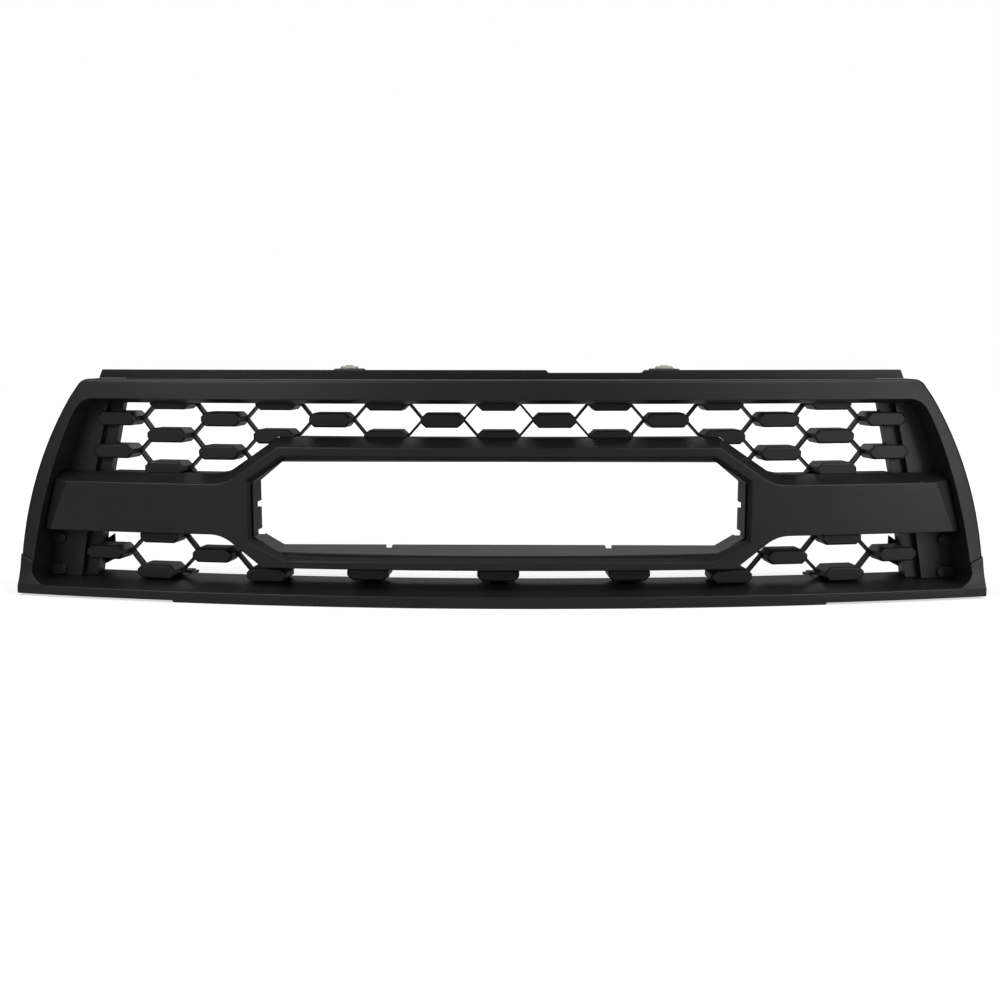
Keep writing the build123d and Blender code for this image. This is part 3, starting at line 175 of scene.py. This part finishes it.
def plated_metal(name, colour, roughness, tint):
    """Plated steel with a faint cloudy passivation."""
    material = bpy.data.materials.new(name)
    material.use_nodes = True
    graph = Graph(material.node_tree)
    shader = material.node_tree.nodes["Principled BSDF"]
    grain = graph.node("ShaderNodeGroup", node_tree=MOULD_GRAIN)
    grain.inputs["Grain Size"].default_value = 900.0
    grain.inputs["Drift Size"].default_value = 160.0
    graph.link(mix_colour(graph, grain.outputs["Drift"], colour, tint), shader.inputs["Base Color"])
    graph.link(graph.span(grain.outputs["Drift"], 0.3, 0.7, roughness - 0.06, roughness + 0.08),
               shader.inputs["Roughness"])
    shader.inputs["Metallic"].default_value = 1.0
    bump = graph.node("ShaderNodeBump")
    bump.inputs["Distance"].default_value = 0.02 * MM
    graph.link(grain.outputs["Height"], bump.inputs["Height"])
    graph.link(bump.outputs["Normal"], shader.inputs["Normal"])
    return material


# each plastic gets a painted highlight along its edges, which is weaker on the retainers
satin = moulded_plastic("satin_black", SATIN_BLACK, 0.45, 0.03 * MM)
raw = moulded_plastic("raw_black", RAW_BLACK, 0.56, 0.05 * MM, grain_size=900.0)
nylon = moulded_plastic("retainer_nylon", NATURAL_NYLON, 0.42, 0.02 * MM, lift=1.08, sheen_amount=0.3)
zinc = plated_metal("zinc_screw", ZINC, 0.34, (0.40, 0.42, 0.38, 1.0))
spring = plated_metal("spring_steel", SPRING_STEEL, 0.42, (0.06, 0.06, 0.075, 1.0))


def finish_of(node_name):
    """The material of a CAD node."""
    for ending, material in (("screws", zinc), ("clips", spring), ("brace_left", raw), ("brace_right", raw)):
        if node_name.endswith(ending):
            return material
    return nylon if node_name.startswith("retainer") else satin


SEAM_REACH = 0.002 * MM      # points this near are one
FLAT_ANGLE = 0.4             # faces within this angle are one flat face, in degrees
EDGE_ANGLE = 28.0            # edges sharper than this are rounded, in degrees


def soften(piece, width):
    """Rounds the moulded edges of a CAD piece."""
    weld = piece.modifiers.new("joined_seams", "WELD")
    weld.merge_threshold = SEAM_REACH
    flat = piece.modifiers.new("whole_faces", "DECIMATE")
    flat.decimate_type = "DISSOLVE"
    flat.angle_limit = radians(FLAT_ANGLE)
    edge = piece.modifiers.new("round_edges", "BEVEL")
    edge.width = width
    edge.segments = 2
    edge.limit_method = "ANGLE"
    edge.angle_limit = radians(EDGE_ANGLE)
    edge.use_clamp_overlap = False
    edge.miter_outer = "MITER_ARC"
    even = piece.modifiers.new("even_shading", "WEIGHTED_NORMAL")
    even.keep_sharp = True


EDGE_ROUND = {
    "surround_arch": 0.6 * MM, "lower_sill": 1.0 * MM, "centre_bar": 0.9 * MM, "emblem_liner": 0.4 * MM,
    "top_rail": 0.5 * MM, "upper_mesh": 0.35 * MM, "lower_mesh_left": 0.35 * MM,
    "lower_mesh_right": 0.35 * MM, "spacer_blocks": 0.5 * MM, "end_panel_left": 0.5 * MM,
    "end_panel_right": 0.5 * MM,
}

for name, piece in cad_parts.items():
    piece.data.materials.clear()
    piece.data.materials.append(finish_of(name))
    if name in EDGE_ROUND:
        soften(piece, EDGE_ROUND[name])

# ---- Room: floor, lamps and camera ----
low, high = Vector(cad_box[0]), Vector(cad_box[1])
middle = (low + high) / 2

FLOOR_GLOW_NEAR = 0.62       # the paper's own white under the grille, where its shadow shows
FLOOR_GLOW_FAR = 1.0         # and where it runs out into the white room
FLOOR_NEAR = 0.5             # from the middle to where it begins to fade, in metres
FLOOR_FAR = 1.5              # and to where it has faded
FLOOR_SIZE = 12.0
FLOOR_GAP = 0.2 * MM         # from the floor up to the grille
PAPER = (0.56, 0.56, 0.56, 1.0)
ROOM_LIGHT = 0.09            # what the room gives the grille; the camera sees it white


def make_floor():
    """White paper that keeps the grille's shadow and fades into the white room."""
    bpy.ops.mesh.primitive_plane_add(size=FLOOR_SIZE, location=(0, 0, low.z - FLOOR_GAP))
    floor = bpy.context.object
    floor.name = "floor"
    paper = bpy.data.materials.new("floor_paper")
    paper.use_nodes = True
    graph = Graph(paper.node_tree)
    shader = paper.node_tree.nodes["Principled BSDF"]
    shader.inputs["Base Color"].default_value = PAPER
    shader.inputs["Roughness"].default_value = 0.9
    shader.inputs["Emission Color"].default_value = (1.0, 1.0, 1.0, 1.0)
    reach = graph.node("ShaderNodeVectorMath", operation="LENGTH")
    graph.link(graph.node("ShaderNodeTexCoord").outputs["Object"], reach.inputs[0])
    glow = graph.span(reach.outputs["Value"], FLOOR_NEAR, FLOOR_FAR, FLOOR_GLOW_NEAR, FLOOR_GLOW_FAR)
    path = graph.node("ShaderNodeLightPath")
    seen_glow = graph.math("MULTIPLY", path.outputs["Is Camera Ray"], glow)
    graph.link(seen_glow, shader.inputs["Emission Strength"])
    floor.data.materials.append(paper)


def make_world():
    world = bpy.data.worlds.new("soft_room")
    bpy.context.scene.world = world
    world.use_nodes = True
    graph = Graph(world.node_tree)
    plain = world.node_tree.nodes["Background"]
    plain.inputs["Color"].default_value = (1.0, 1.0, 1.0, 1.0)
    path = graph.node("ShaderNodeLightPath")
    graph.link(graph.span(path.outputs["Is Camera Ray"], 0.0, 1.0, ROOM_LIGHT, 1.0), plain.inputs["Strength"])


def add_lamp(name, place, width, height, power):
    """Soft box aimed at the grille."""
    lamp = bpy.data.lights.new(name, "AREA")
    lamp.shape = "RECTANGLE"
    lamp.size, lamp.size_y = width, height
    lamp.energy = power
    holder = bpy.data.objects.new(name, lamp)
    holder.location = place
    holder.rotation_euler = (middle - Vector(place)).to_track_quat("-Z", "Y").to_euler()
    bpy.context.scene.collection.objects.link(holder)


CAMERA_PLACE = (0.0213, -1.1832, 0.0208)
CAMERA_AIM = (0.00206, -0.082, -0.1175)
CAMERA_LENS = 42.6           # in millimetres, as the sensor
CAMERA_SENSOR = 36.0


def make_camera():
    lens = bpy.data.cameras.new("front_view")
    lens.lens = CAMERA_LENS
    lens.sensor_width = CAMERA_SENSOR
    camera = bpy.data.objects.new("front_view", lens)
    camera.location = CAMERA_PLACE
    camera.rotation_euler = (Vector(CAMERA_AIM) - camera.location).to_track_quat("-Z", "Y").to_euler()
    bpy.context.scene.collection.objects.link(camera)
    bpy.context.scene.camera = camera


make_floor()
make_world()
make_camera()
# each lamp: place, width, height and power in watts
LAMPS = {
    "upper_left_softbox": ((-0.95, -0.5, 1.35), 0.9, 0.7, 11.0),
    "upper_right_softbox": ((1.05, -0.5, 1.35), 0.9, 0.7, 12.0),
    "right_softbox": ((1.4, -0.9, 0.2), 0.6, 0.9, 5.0),
    "front_left_softbox": ((-1.0, -1.3, 0.55), 0.7, 0.35, 6.0),
    "front_right_softbox": ((1.05, -1.3, 0.55), 0.7, 0.35, 3.5),
    "rear_softbox": ((0.0, 1.4, 1.2), 1.8, 0.8, 9.0),
}
for name, settings in LAMPS.items():
    add_lamp(name, *settings)
bpy.context.scene.view_settings.view_transform = "Standard"
